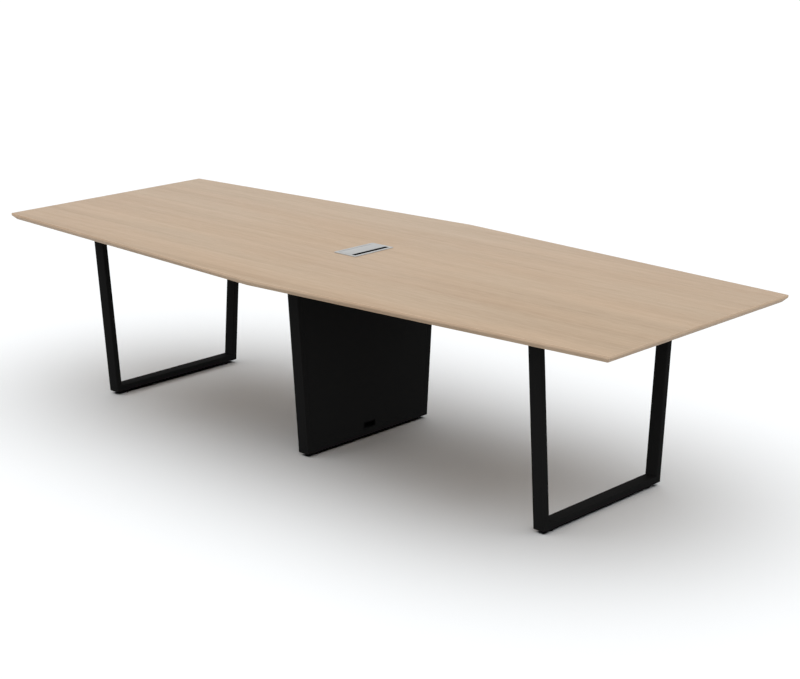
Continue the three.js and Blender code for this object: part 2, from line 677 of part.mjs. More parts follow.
/** The cable well: a sheet box with a flange under the board and an outlet into the pedestal. */
function cableWell() {
  const flangeWidth = WELL_WIDTH + 2 * WELL_FLANGE;
  const flangeLength = WELL_LENGTH + 2 * WELL_FLANGE;
  const whole = join(
    boxBetween(span(flangeWidth), span(flangeLength), [UNDERSIDE - WELL_WALL, UNDERSIDE]),
    boxBetween(span(WELL_WIDTH), span(WELL_LENGTH), [WELL_BOTTOM, UNDERSIDE]),
  );
  const inside = boxBetween(
    span(CUTOUT_WIDTH),
    span(CUTOUT_LENGTH),
    [WELL_BOTTOM + WELL_WALL, UNDERSIDE + OVERCUT],
  );
  const outlet = boxBetween(
    span(WELL_OUTLET_WIDTH),
    span(WELL_OUTLET_LENGTH),
    [WELL_BOTTOM - OVERCUT, WELL_BOTTOM + WELL_WALL + OVERCUT],
  );
  return geometryOf(cut(whole, inside, outlet));
}

/** The board and its six edge bands. */
function addTop(table) {
  addPiece(table, 'top_panel', topPanel(), BOARD);
  BAND_NAMES.forEach((name, side) => addPiece(table, `edge_band_${name}`, edgeBand(side), BAND));
}

/** The two loop legs, at equal distances from the middle. */
function addLoopLegs(table) {
  for (const [name, sign] of [['left', -1], ['right', 1]]) {
    const loop = new THREE.Group();
    loop.position.x = (sign * LOOP_SPACING) / 2;
    table.add(loop);
    addLoop(loop, `${name}_loop`, 'leg');
    addPiece(loop, `${name}_loop_top_bar`, geometryOf(loopTube('top_bar')), BLACK_STEEL);
    for (const [side, sideSign] of SIDES) {
      addPiece(table, `${name}_${side}_beam`, beam(sign, sideSign), BLACK_STEEL);
    }
  }
}

/** The pedestal in the middle: a loop with an open top bar, closed by two covers. */
function addPedestal(table) {
  const pedestal = new THREE.Group();
  table.add(pedestal);
  addLoop(pedestal, 'pedestal', 'post');
  for (const [side, sign] of SIDES) {
    addPiece(pedestal, `pedestal_${side}_top_stub`, topStub(sign), BLACK_STEEL);
    addHanger(pedestal, `cover_hanger_${side}_low`, sign, HANGER_LOW);
    addHanger(pedestal, `cover_hanger_${side}_high`, sign, HANGER_HIGH);
  }
  addPiece(pedestal, 'pedestal_front_cover', frontCover(), BLACK_STEEL);
  addPiece(pedestal, 'pedestal_rear_cover', rearCover(), BLACK_STEEL);
  addPiece(pedestal, 'cable_outlet_bezel', outletBezel(), BLACK_PLASTIC);
}

/** The cable port and the well below it. */
function addPort(table) {
  addPiece(table, 'port_frame', portFrame(), SATIN_ALUMINIUM);
  addPiece(table, 'port_lid', portLid(), SATIN_ALUMINIUM);
  addPiece(table, 'port_hinge_pin', hingeBar(PIN_DIAMETER, COLLAR_LENGTH - OVERCUT), ZINC_STEEL);
  addPiece(table, 'port_brush', portBrush(), BRUSH_FIBRE);
  addPiece(table, 'cable_well', cableWell(), BLACK_STEEL);
}

const table = new THREE.Group();
addTop(table);
addLoopLegs(table);
addPedestal(table);
addPort(table);

export default table;
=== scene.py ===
"""Looks of a six-sided conference table with a brushed cable port, built around its packed frame.

The file is laid out as an add-on and run as a script. Lengths are metres in the frame's own axes:
X along the table, Y across it and Z up from the floor.
"""
import functools
import json
import math
import random

import bmesh
import bpy
from bpy.props import FloatProperty, FloatVectorProperty, IntProperty, PointerProperty
from bpy.types import Operator, Panel, PropertyGroup
from mathutils import Matrix, Vector


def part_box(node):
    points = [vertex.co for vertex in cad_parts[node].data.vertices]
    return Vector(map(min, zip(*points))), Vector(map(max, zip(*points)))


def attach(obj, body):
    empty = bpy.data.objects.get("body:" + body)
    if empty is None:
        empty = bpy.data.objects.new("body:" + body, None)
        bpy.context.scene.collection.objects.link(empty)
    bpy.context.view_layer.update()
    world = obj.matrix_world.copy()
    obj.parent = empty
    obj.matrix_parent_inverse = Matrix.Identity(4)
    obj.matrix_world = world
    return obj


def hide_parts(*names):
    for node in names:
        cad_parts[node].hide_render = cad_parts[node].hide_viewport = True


bl_info = {
    "name": "Conference table",
    "version": (1, 0, 0),
    "blender": (4, 5, 0),
    "location": "View3D > Sidebar > Table",
    "description": "Models and finishes a conference table around its packed frame",
    "category": "Mesh",
}

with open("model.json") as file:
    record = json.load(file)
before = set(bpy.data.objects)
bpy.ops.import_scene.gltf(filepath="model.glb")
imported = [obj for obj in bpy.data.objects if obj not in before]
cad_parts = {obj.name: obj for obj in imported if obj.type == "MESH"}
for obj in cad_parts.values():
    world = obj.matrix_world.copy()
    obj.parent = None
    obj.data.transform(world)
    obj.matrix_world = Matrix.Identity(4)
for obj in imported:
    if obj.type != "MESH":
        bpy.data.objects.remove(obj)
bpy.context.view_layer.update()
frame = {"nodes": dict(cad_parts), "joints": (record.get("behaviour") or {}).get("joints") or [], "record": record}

SAME_POINT = 1e-6
NEAR_POINT = 1e-5
ON_FACE = 1e-4
FLAT_ANGLE = math.radians(1)
SHARP_ANGLE = math.radians(30)
SHADING_ANGLE = math.radians(40)
UP = Vector((0, 0, 1))
SIDES = (("near", -1), ("far", 1))
LOOPS = ("left_loop", "right_loop", "pedestal")
FRAME_ENDS = [f"{name}_{side}" for name in LOOPS for side, _ in SIDES]
BEAMS = [f"{end}_{side}_beam" for end in ("left", "right") for side, _ in SIDES]
BODIES = frame["record"]["behaviour"]["bodies"]
BODY_OF = {node: body for body, nodes in BODIES.items() for node in nodes}


@functools.cache
def node_box(node):
    """Lowest and highest corner of a CAD node, measured once."""
    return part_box(node)


def low(node):
    """Lowest corner of a CAD node."""
    return Vector(node_box(node)[0])


def high(node):
    """Highest corner of a CAD node."""
    return Vector(node_box(node)[1])


def middle(node):
    """Middle of a CAD node's box."""
    return (low(node) + high(node)) / 2


# Levels and reaches read from the frame.
TABLE_TOP = high("top_panel").z
UNDERSIDE = low("top_panel").z
HALF_LENGTH = high("edge_band_right_end").x
HALF_END = high("edge_band_right_end").y
HALF_MIDDLE = high("edge_band_far_left").y
PORT_TOP = high("port_frame").z
BAND_NAMES = ("near_left", "near_right", "right_end", "far_right", "far_left", "left_end")
OUTLINE = [Vector(corner) for corner in (
    (-HALF_LENGTH, -HALF_END), (0, -HALF_MIDDLE), (HALF_LENGTH, -HALF_END),
    (HALF_LENGTH, HALF_END), (0, HALF_MIDDLE), (-HALF_LENGTH, HALF_END))]
COAT = "black_powder_coat"
ZINC = "zinc_plate"


def length(default, about):
    """A length property in metres."""
    return FloatProperty(description=about, default=default, min=0, unit="LENGTH", precision=4)


def colour(default, about):
    """A colour property in linear values."""
    return FloatVectorProperty(description=about, default=default, size=3, subtype="COLOR", min=0, max=1)


def number(default, about):
    """A plain number property."""
    return FloatProperty(description=about, default=default, min=0)


def count(default, about):
    """A whole number property."""
    return IntProperty(description=about, default=default, min=1)


def angle(degrees, about):
    """An angle property."""
    return FloatProperty(description=about, default=math.radians(degrees), subtype="ANGLE")


class TopSettings(PropertyGroup):
    """Board, edge bands and their decor."""

    lip: length(0.009, "Height of the upright lip")
    undercut: length(0.016, "Cut back under the lip")
    band: length(0.001, "Thickness of the edge band")
    glue_line: length(0.0001, "Gap between the board and the band")
    band_joint: length(0.00005, "Gap at each end of a band strip")
    lip_round: length(0.0022, "Softness of the corner under the lip")
    arris: length(0.0005, "Softness of the upper edge of the band")
    decor_light: colour((0.532, 0.407, 0.291), "Light wood between the grain")
    decor_dark: colour((0.419, 0.310, 0.213), "Dark streaks of the grain")
    # Painted light: the edge band's two colours are paler than the top's decor, so that its upright lip and
    # undercut show as brightly lit as the top.
    edge_light_with_painted_light: colour((0.662, 0.507, 0.366), "Light wood of the edge band")
    edge_dark_with_painted_light: colour((0.523, 0.386, 0.269), "Dark streaks of the edge band")


class FrameSettings(PropertyGroup):
    """Black steel frames, beams, lugs and covers."""

    tube_round: length(0.0028, "Corner radius of the loops and beams")
    post_round: length(0.0014, "Corner radius of the pedestal's tube")
    tube_wall: length(0.002, "Wall of the tube")
    weld_seam: length(0.00004, "Gap left at each ground weld")
    cover_seam: length(0.00005, "Gap between a cover and the foot bar")
    fold_round: length(0.0012, "Outer radius of the folds in the covers")
    plate_round: length(0.004, "Corner radius of lugs and flanges")
    plate_edge: length(0.0005, "Softness of the edges of plates")
    beam_width: length(0.040, "Width of the beams under the top")
    beam_depth: length(0.020, "Depth of the beams under the top")
    flange: length(0.004, "Thickness of the beams' end flanges")
    coat: colour((0.0114, 0.0115, 0.0115), "Black powder coat")


class FootSettings(PropertyGroup):
    """Levelling feet and fasteners."""

    pad_edge: length(0.0016, "Softness of the pad's edges")
    pad_floor: length(0.0025, "Thickness of the pad under the stud")
    stud: length(0.008, "Outer diameter of the thread")
    pitch: length(0.00125, "Pitch of the thread")
    stud_play: length(0.0003125, "Clearance round the stud and under its collar")
    collar: length(0.013, "Width of the collar across its corners")
    collar_height: length(0.0036, "Height of the collar")
    insert: length(0.012, "Diameter of the threaded insert")
    insert_flange: length(0.0015, "Thickness of the insert's flange")
    screw_head: length(0.011, "Head diameter of the lug screws")
    bolt_head: length(0.0115, "Width of the bolts across their corners")
    fastener_height: length(0.0034, "Height of the screw and bolt heads")
    zinc: colour((0.50, 0.51, 0.52), "Zinc plate")
    plastic: colour((0.0042, 0.0042, 0.0043), "Black moulded plastic")


class PortSettings(PropertyGroup):
    """Cable port, its lid and brush, the well and the cable outlet."""

    rim: length(0.012, "Width of the port's rim")
    rim_corner: length(0.005, "Corner radius of the rim")
    rim_edge: length(0.0007, "Softness of the rim's edges")
    collar: length(0.004, "Wall of the collar in the cut-out")
    ledge: length(0.006, "Depth of the ledges under the lid")
    lid: length(0.0025, "Thickness of the lid")
    barrel: length(0.0035, "Radius of the lid's hinge barrel")
    play: length(0.0003, "Clearance of the pin, lid and brush")
    spine: length(0.0045, "Width of the brush's spine")
    bristle: length(0.00024, "Radius of a bristle at its root")
    bristle_rows: count(6, "Rows of bristles")
    bristles: count(240, "Bristles in each row")
    seed: count(7, "Seed of the bristles' lean")
    well_wall: length(0.0012, "Sheet of the cable well")
    well_flange: length(0.014, "Flange of the cable well")
    well_outlet: FloatVectorProperty(description="Slot in the floor of the well", size=2,
                                     default=(0.040, 0.120), unit="LENGTH")
    bezel_lip: length(0.003, "Lip of the cable outlet's bezel")
    bezel_wall: length(0.0015, "Wall and proud height of the bezel")
    bezel_corner: length(0.003, "Corner radius of the bezel")
    aluminium: colour((0.497, 0.503, 0.498), "Satin anodised aluminium")
    fibre: colour((0.0025, 0.0025, 0.0025), "Black nylon bristles")


class StageSettings(PropertyGroup):
    """Camera, floor and light."""

    place: FloatVectorProperty(description="Where the camera stands", size=3, subtype="TRANSLATION",
                               default=(4.6121, -4.7507, 2.2775), unit="LENGTH")
    turn: angle(42.995, "Camera's turn about Z")
    dip: angle(15.988, "Camera's dip below level")
    lens: number(82.575, "Focal length of the camera in millimetres")
    floor: length(200.0, "Side of the floor")
    floor_bounce: colour((0.40, 0.40, 0.40), "Floor as the table sees it")
    floor_shown: colour((0.967, 0.986, 1.0), "Floor as the camera sees it")
    floor_cone: number(0.555, "Part of a right angle, from overhead, that lights the floor")
    dome: number(1.065, "Strength of the white dome overhead")
    horizon: number(1.3, "Strength of the white dome at the horizon")
    dome_rise: number(0.6, "Sine of the height from which the dome is as strong as overhead")


# Modelling with bmesh operators.


def soften(bm, edges, radius, segments):
    """Rounds edges."""
    bmesh.ops.bevel(bm, geom=list(edges), offset=radius, offset_type="OFFSET", segments=segments,
                    profile=0.5, affect="EDGES", clamp_overlap=True, material=-1)


def sharp_edges(bm):
    """Edges whose faces meet at more than the sharp angle."""
    bm.normal_update()
    return [edge for edge in bm.edges if edge.is_manifold and edge.calc_face_angle() > SHARP_ANGLE]


def outward(bm):
    """Turns every face outwards."""
    bm.normal_update()
    bmesh.ops.recalc_face_normals(bm, faces=bm.faces)


def edges_along(bm, axis):
    """Edges that run along an axis."""
    return [edge for edge in bm.edges
            if abs((edge.verts[1].co - edge.verts[0].co).normalized()[axis]) > 1 - SAME_POINT]


def facing(bm, direction):
    """The face that looks in a direction, furthest along it."""
    bm.normal_update()
    faces = [face for face in bm.faces if face.normal.dot(direction) > 1 - SAME_POINT]
    return max(faces, key=lambda face: face.calc_center_median().dot(direction))


def inset(bm, face, thickness):
    """Insets a face; the face itself becomes the inner one."""
    bmesh.ops.inset_region(bm, faces=[face], thickness=thickness, use_even_offset=True)
    return face


def extrude(bm, faces, shift):
    """Extrudes faces by a shift and returns the moved faces; a sheet on its own becomes a solid."""
    edges = dict.fromkeys(edge for face in faces for edge in face.edges)
    made = bmesh.ops.extrude_face_region(bm, geom=[*faces, *edges])["geom"]
    verts = [item for item in made if isinstance(item, bmesh.types.BMVert)]
    bmesh.ops.translate(bm, verts=verts, vec=shift)
    return [item for item in made if isinstance(item, bmesh.types.BMFace)]


def open_through(bm, first, second):
    """Opens a passage between two faces with as many edges."""
    edges = list(first.edges) + list(second.edges)
    bmesh.ops.delete(bm, geom=[first, second], context="FACES_ONLY")
    bmesh.ops.bridge_loops(bm, edges=edges)


def block(bm, lowest, highest):
    """Adds a box between two corners and returns its vertices."""
    size = Vector(highest) - Vector(lowest)
    centre = (Vector(highest) + Vector(lowest)) / 2
    matrix = Matrix.Translation(centre) @ Matrix.Diagonal((*size, 1))
    return bmesh.ops.create_cube(bm, size=1, matrix=matrix)["verts"]


def rounded_plate(lowest, highest, axis, corner, edge):
    """A plate with round corners about an axis and softened edges."""
    bm = bmesh.new()
    block(bm, lowest, highest)
    soften(bm, edges_along(bm, axis), corner, 5)
    soften(bm, sharp_edges(bm), edge, 2)
    return bm


def turned(profile, matrix, steps, closed=False):
    """A turned piece: a profile of radius and height spun about Z, then placed."""
    bm = bmesh.new()
    verts = [bm.verts.new((radius, 0, height)) for radius, height in profile]
    ends = verts[1:] + verts[:1] if closed else verts[1:]
    edges = [bm.edges.new(pair) for pair in zip(verts, ends)]
    bmesh.ops.spin(bm, geom=verts + edges, axis=UP, angle=math.tau, steps=steps, use_merge=True)
    bmesh.ops.remove_doubles(bm, verts=bm.verts, dist=SAME_POINT)
    outward(bm)
    bmesh.ops.transform(bm, matrix=matrix, verts=bm.verts)
    return bm


def merged_copy(node):
    """A copy of a CAD node with its triangles merged into whole faces."""
    bm = bmesh.new()
    bm.from_mesh(frame["nodes"][node].data)
    bmesh.ops.remove_doubles(bm, verts=bm.verts, dist=SAME_POINT)
    bmesh.ops.dissolve_limit(bm, angle_limit=FLAT_ANGLE, verts=bm.verts, edges=bm.edges)
    return bm


def gather(bm, other):
    """Moves one bmesh into another."""
    mesh = bpy.data.meshes.new("gathered")
    other.to_mesh(mesh)
    other.free()
    bm.from_mesh(mesh)
    bpy.data.meshes.remove(mesh)


def upright_at(node, level=0):
    """Moves a piece made about Z to the middle of a node, at a level."""
    return Matrix.Translation((*middle(node).xy, level))


def aimed(seat, direction, side="Y"):
    """Moves a piece made along Z to a seat and turns it to a direction."""
    return Matrix.Translation(seat) @ Vector(direction).to_track_quat("Z", side).to_matrix().to_4x4()


def new_object(name, bm, material):
    """Links a mesh and its material to the scene."""
    mesh = bpy.data.meshes.new(name)
    bm.to_mesh(mesh)
    bm.free()
    mesh.materials.append(material)
    made = bpy.data.objects.new(name, mesh)
    bpy.context.scene.collection.objects.link(made)
    return made


def make_piece(name, bm, slot, *nodes, turn=0.0):
    """Finishes a piece: it stands for its nodes, or else is a new one, and rides with them."""
    for face in bm.faces:
        face.smooth = True
    piece = new_object(name, bm, finish(slot, turn))
    piece.data.set_sharp_from_angle(angle=SHADING_ANGLE)
    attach(piece, BODY_OF[nodes[0]] if nodes else "table")
    if nodes:
        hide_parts(*nodes)


# Finishes: shared effects are node groups, shaders stay in the materials.

# Layers of noise: scale along each axis, detail, roughness and distortion.
BROAD_BANDS = (0.45, 10, 10), 3, 0.5, 0.3
LONG_STREAKS = (1.6, 60, 60), 4, 0.6, 0.3
FLECKS = (15, 120, 120), 2, 0.5, 0.4
FINE_FIBRE = (16, 900, 900), 3, 0.6
PORES = (55, 1700, 1700), 1
WARM_PATCHES = (1.1, 5, 5), 2
BRUSH_LINES = (2600, 24, 2600), 2
GLOSS_PATCHES = (18, 18, 18), 3
# Span that noise mostly keeps to, weight of the fine layers, and factors that tint a colour.
NOISE_SPAN = (0.3, 0.7)
FINE_LAYER = 0.6
WARMER = (1.02, 0.985, 0.96, 1)
PALER = (1.7, 1.7, 1.7, 1)
DULLER = (0.86, 0.86, 0.87, 1)


def put(tree, kind, inputs=(), **options):
    """Adds a node, sets its options, and sets or links its inputs."""
    made = tree.nodes.new(kind)
    for option, value in options.items():
        setattr(made, option, value)
    for socket, value in dict(inputs).items():
        if isinstance(value, bpy.types.NodeSocket):
            tree.links.new(value, made.inputs[socket])
        else:
            made.inputs[socket].default_value = value
    return made


def blend_colours(tree, factor, first, second, mode="MIX"):
    """Mixes two colours."""
    mix = put(tree, "ShaderNodeMix", {0: factor, 6: first, 7: second}, data_type="RGBA", blend_type=mode)
    return mix.outputs[2]


def calculate(tree, operation, *values):
    """Works out a value from others."""
    return put(tree, "ShaderNodeMath", dict(enumerate(values)), operation=operation).outputs[0]


def remap(tree, value, span, target=(0, 1)):
    """Maps a value from one span to another, clamped."""
    return put(tree, "ShaderNodeMapRange", dict(enumerate((value, *span, *target)))).outputs[0]


def stretched_noise(tree, vector, scale, detail, roughness=0.5, distortion=0.0):
    """Noise on coordinates stretched by a scale along each axis."""
    mapping = put(tree, "ShaderNodeMapping", {"Vector": vector, "Scale": scale})
    noise = put(tree, "ShaderNodeTexNoise", {"Vector": mapping.outputs[0], "Scale": 1.0, "Detail": detail,
                                             "Roughness": roughness, "Distortion": distortion})
    return noise.outputs["Fac"]


def new_effect(name, colours, values):
    """An empty group for an effect with colours and values; returns the tree and its inputs."""
    tree = bpy.data.node_groups.new(name, "ShaderNodeTree")
    inputs = {"Vector": "Vector", **dict.fromkeys(colours, "Color"), **dict.fromkeys(values, "Float")}
    outputs = {"Color": "Color", "Roughness": "Float", "Height": "Float"}
    for side, sockets in (("INPUT", inputs), ("OUTPUT", outputs)):
        for label, kind in sockets.items():
            tree.interface.new_socket(label, in_out=side, socket_type=f"NodeSocket{kind}")
    return tree, put(tree, "NodeGroupInput").outputs


def straight_grain(name):
    """Straight wood grain along X: broad bands, long streaks, flecks, fine fibre and short pores."""
    tree, given = new_effect(name, ("Light", "Dark"), ())
    layers = (BROAD_BANDS, LONG_STREAKS, FLECKS, FINE_FIBRE, PORES, WARM_PATCHES)
    broad, streaks, flecks, fibre, pores, warmth = (
        stretched_noise(tree, given["Vector"], *layer) for layer in layers)
    bands = remap(tree, broad, (0.34, 0.66))
    lines = remap(tree, streaks, (0.32, 0.68))
    dots = remap(tree, flecks, (0.34, 0.66))
    threads = remap(tree, fibre, NOISE_SPAN)
    tone = calculate(tree, "ADD", bands, lines)
    for layer in (dots, threads):
        tone = calculate(tree, "MULTIPLY_ADD", layer, FINE_LAYER, tone)
    wood = blend_colours(tree, remap(tree, tone, (0.4, 2.8)), given["Light"], given["Dark"])
    warm = blend_colours(tree, 1.0, wood, WARMER, "MULTIPLY")
    wood = blend_colours(tree, remap(tree, warmth, (0.35, 0.65)), wood, warm)
    dashes = remap(tree, pores, (0.68, 0.76), (0, 0.22))
    wood = blend_colours(tree, dashes, wood, given["Dark"], "MULTIPLY")
    rough = remap(tree, fibre, NOISE_SPAN, (0.46, 0.58))
    height = calculate(tree, "SUBTRACT", threads, dashes)
    put(tree, "NodeGroupOutput", {"Color": wood, "Roughness": rough, "Height": height})
    return tree


def speckled_skin(name):
    """Fine uneven skin of a powder coat or a moulding: tone, gloss and height."""
    tree, given = new_effect(name, ("Base",), ("Grain", "Gloss low", "Gloss high"))
    place = given["Vector"]
    skin = put(tree, "ShaderNodeTexNoise", {"Vector": place, "Scale": given["Grain"], "Detail": 2.0})
    cloud = put(tree, "ShaderNodeTexNoise", {"Vector": place, "Scale": 9.0, "Detail": 3.0})
    pale = blend_colours(tree, 1.0, given["Base"], PALER, "MULTIPLY")
    fleck = remap(tree, skin.outputs["Fac"], (0.45, 0.75), (0, 0.45))
    tone = blend_colours(tree, fleck, given["Base"], pale)
    rough = remap(tree, cloud.outputs["Fac"], NOISE_SPAN, (given["Gloss low"], given["Gloss high"]))
    put(tree, "NodeGroupOutput", {"Color": tone, "Roughness": rough, "Height": skin.outputs["Fac"]})
    return tree


def brushed_metal(name):
    """Fine brushing along Y on metal: tone, gloss and height."""
    tree, given = new_effect(name, ("Base",), ("Gloss low", "Gloss high"))
    lines = stretched_noise(tree, given["Vector"], *BRUSH_LINES)
    cloud = stretched_noise(tree, given["Vector"], *GLOSS_PATCHES)
    dull = blend_colours(tree, 1.0, given["Base"], DULLER, "MULTIPLY")
    tone = blend_colours(tree, remap(tree, lines, NOISE_SPAN), given["Base"], dull)
    rough = remap(tree, cloud, NOISE_SPAN, (given["Gloss low"], given["Gloss high"]))
    put(tree, "NodeGroupOutput", {"Color": tone, "Roughness": rough, "Height": lines})
    return tree


def emptied_tree(owner):
    """The node tree of a material or a world, emptied."""
    owner.use_nodes = True
    owner.node_tree.nodes.clear()
    return owner.node_tree


def opaque(value):
    """A colour property as a colour with alpha."""
    return (*value, 1)


def new_finish(name, turn, settings, colours, effect, values, bump, fixed):
    """A material: one shared effect on Object coordinates feeds one shader; turn is about Z."""
    material = bpy.data.materials.new(name)
    tree = emptied_tree(material)
    place = put(tree, "ShaderNodeTexCoord").outputs["Object"]
    if turn:
        place = put(tree, "ShaderNodeMapping", {"Vector": place, "Rotation": (0, 0, turn)}).outputs[0]
    group = bpy.data.node_groups.get(effect.__name__) or effect(effect.__name__)
    chosen = getattr(bpy.context.scene, settings)
    tints = {socket: opaque(getattr(chosen, setting)) for socket, setting in colours.items()}
    skin = put(tree, "ShaderNodeGroup", {"Vector": place, **tints, **values}, node_tree=group).outputs
    strength, depth = bump
    relief = put(tree, "ShaderNodeBump", {
        "Strength": strength, "Distance": depth, "Height": skin["Height"]}).outputs[0]
    shader = put(tree, "ShaderNodeBsdfPrincipled", {
        "Base Color": skin["Color"], "Roughness": skin["Roughness"], "Normal": relief, **fixed})
    put(tree, "ShaderNodeOutputMaterial", {"Surface": shader.outputs[0]})
    return material


SHEEN = "Specular IOR Level"
WOOD = straight_grain, {}, (0.25, 0.00005), {SHEEN: 0.16}
# For each slot: its settings and their colours, the effect that these feed, the effect's other values,
# strength and depth of the bump, and the shader's own values.
FINISHES = {
    "top_decor": ("table_top", {"Light": "decor_light", "Dark": "decor_dark"}, *WOOD),
    # Painted light: the edge band's colours are paler than the top's, to paint in the light on its lip and
    # undercut.
    "edge_decor": ("table_top", {"Light": "edge_light_with_painted_light", "Dark": "edge_dark_with_painted_light"}, *WOOD),
    COAT: (
        "table_frame", {"Base": "coat"}, speckled_skin,
        {"Grain": 1100.0, "Gloss low": 0.46, "Gloss high": 0.56}, (0.35, 0.00006), {SHEEN: 0.003}),
    "black_plastic": (
        "table_foot", {"Base": "plastic"}, speckled_skin,
        {"Grain": 2400.0, "Gloss low": 0.5, "Gloss high": 0.62}, (0.4, 0.00004), {SHEEN: 0.05}),
    "brush_fibre": (
        "table_port", {"Base": "fibre"}, speckled_skin,
        {"Grain": 900.0, "Gloss low": 0.55, "Gloss high": 0.75}, (0.2, 0.00003), {SHEEN: 0.02}),
    "satin_aluminium": (
        "table_port", {"Base": "aluminium"}, brushed_metal,
        {"Gloss low": 0.34, "Gloss high": 0.42}, (0.15, 0.00002), {"Metallic": 1.0}),
    ZINC: (
        "table_foot", {"Base": "zinc"}, brushed_metal,
        {"Gloss low": 0.28, "Gloss high": 0.40}, (0.1, 0.00002), {"Metallic": 1.0}),
}


def finish(slot, turn=0.0):
    """The material of a slot, made at its first use; turn is that of its grain about Z."""
    name = f"{slot}_across_finish" if turn else f"{slot}_finish"
    return bpy.data.materials.get(name) or new_finish(name, turn, *FINISHES[slot])


# Table top.


def inset_corner(outline, i, distance):
    """Corner of an anticlockwise outline moved inwards with both its sides."""
    before = (outline[i] - outline[i - 1]).normalized()
    after = (outline[(i + 1) % len(outline)] - outline[i]).normalized()
    first = Vector((-before.y, before.x))
    second = Vector((-after.y, after.x))
    return outline[i] + (first + second) * (distance / (1 + first.dot(second)))


def inset_outline(distance):
    """Corners of the top moved inwards."""
    return [inset_corner(OUTLINE, i, distance) for i in range(len(OUTLINE))]


def edge_profile(skin):
    """Inset and level of the edge under a skin, from the top down."""
    top = bpy.context.scene.table_top
    drop = TABLE_TOP - top.lip - UNDERSIDE
    slope = math.hypot(top.undercut, drop)
    return [
        (skin, TABLE_TOP),
        (skin, TABLE_TOP - top.lip + skin * (slope - drop) / top.undercut),
        (top.undercut + skin * slope / drop, UNDERSIDE),
    ]


def ring(bm, points, level):
    """Edges of a closed outline at a level."""
    verts = [bm.verts.new((*point, level)) for point in points]
    return [bm.edges.new(pair) for pair in zip(verts, verts[1:] + verts[:1])]


def cut_out():
    """Corners of the cut-out in the board, as wide as the cable well inside."""
    port = bpy.context.scene.table_port
    reach = high("cable_well").xy - Vector((1, 1)) * (port.well_flange + port.well_wall)
    return [Vector((x * reach.x, y * reach.y)) for x, y in ((-1, -1), (1, -1), (1, 1), (-1, 1))]


def at_level(edge, level):
    """Whether an edge lies at a level."""
    return all(abs(vert.co.z - level) < SAME_POINT for vert in edge.verts)


def build_board():
    """The board with the cut-out for the port."""
    top = bpy.context.scene.table_top
    profile = edge_profile(top.band + top.glue_line)
    bm = bmesh.new()
    edges = ring(bm, inset_outline(profile[0][0]), TABLE_TOP) + ring(bm, cut_out(), TABLE_TOP)
    bmesh.ops.triangle_fill(bm, use_beauty=True, edges=edges, normal=UP)
    faces = list(bm.faces)
    clear_of_port = HALF_END / 2
    for (_, above), (distance, level) in zip(profile, profile[1:]):
        faces = extrude(bm, faces, (0, 0, level - above))
        corners = inset_outline(distance)
        for vert in {vert for face in faces for vert in face.verts}:
            if vert.co.xy.length > clear_of_port:
                vert.co.xy = min(corners, key=lambda corner: (corner - vert.co.xy).length)
    outward(bm)
    soften(bm, [edge for edge in sharp_edges(bm) if at_level(edge, TABLE_TOP)], top.glue_line, 2)
    make_piece("board", bm, "top_decor", "top_panel")


def build_band(side):
    """One strip of the edge band, mitred at both ends, with a soft corner under the lip."""
    top = bpy.context.scene.table_top
    far_side = (side + 1) % len(OUTLINE)
    run = (OUTLINE[far_side] - OUTLINE[side]).normalized()
    profile = edge_profile(0) + edge_profile(top.band)[::-1]

    def place(corner, point, shift):
        spot = inset_outline(point[0])[corner] + run * shift
        return Vector((*spot, point[1]))

    bm = bmesh.new()
    verts = [bm.verts.new(place(side, point, top.band_joint)) for point in profile]
    starts = [vert.co.copy() for vert in verts]
    made = bmesh.ops.extrude_face_region(bm, geom=[bm.faces.new(verts)])["geom"]
    for vert in (item for item in made if isinstance(item, bmesh.types.BMVert)):
        nearest = min(range(len(starts)), key=lambda i: (starts[i] - vert.co).length)
        vert.co = place(far_side, profile[nearest], -top.band_joint)
    outward(bm)
    long_edges = [edge for edge in bm.edges if edge.calc_length() > HALF_END]
    lip_level = edge_profile(0)[1][1]
    reach = {edge: sum(vert.co.xy.length for vert in edge.verts) for edge in long_edges}
    upper = [edge for edge in long_edges if at_level(edge, TABLE_TOP)]
    soften(bm, [edge for edge in long_edges if at_level(edge, lip_level)], top.lip_round, 6)
    soften(bm, [max(upper, key=reach.get)], top.arris, 3)
    name = BAND_NAMES[side]
    turn = math.pi / 2 if name.endswith("end") else 0.0
    make_piece(f"band_{name}", bm, "edge_decor", f"edge_band_{name}", turn=turn)


class TABLE_OT_top(Operator):
    """Model the board and the six strips of its edge band"""

    bl_idname = "table.top"
    bl_label = "Top"

    def execute(self, context):
        build_board()
        for side in range(len(OUTLINE)):
            build_band(side)
        return {"FINISHED"}


# Frames of tube.


def frame_corners(name):
    """Outer corners of a loop or of the pedestal's frame, as Y and Z, from the near foot round."""
    foot = high(f"{name}_foot_bar")
    bar = high("pedestal_far_top_stub" if name == "pedestal" else f"{name}_top_bar")
    ground = low(f"{name}_foot_bar").z
    spots = (-foot.y, ground), (foot.y, ground), (bar.y, bar.z), (-bar.y, bar.z)
    return [Vector(spot) for spot in spots]


def tube_depth(name):
    """Depth of the tube of a frame."""
    return high(f"{name}_foot_bar").z - low(f"{name}_foot_bar").z


def mitred_bar(spans, x_span, corner):
    """A bar with mitred ends and round long edges; spans holds its outer and inner line."""
    bm = bmesh.new()
    for vert in bmesh.ops.create_cube(bm, size=2)["verts"]:
        line = spans[0] if vert.co.z > 0 else spans[1]
        spot = line[1] if vert.co.y > 0 else line[0]
        vert.co = (x_span[1] if vert.co.x > 0 else x_span[0], *spot)
    outward(bm)
    starts = (spans[0][0], spans[1][0])
    long_edges = [edge for edge in bm.edges
                  if sum(min((vert.co.yz - spot).length for spot in starts) < SAME_POINT
                         for vert in edge.verts) == 1]
    soften(bm, long_edges, corner, 5)
    return bm


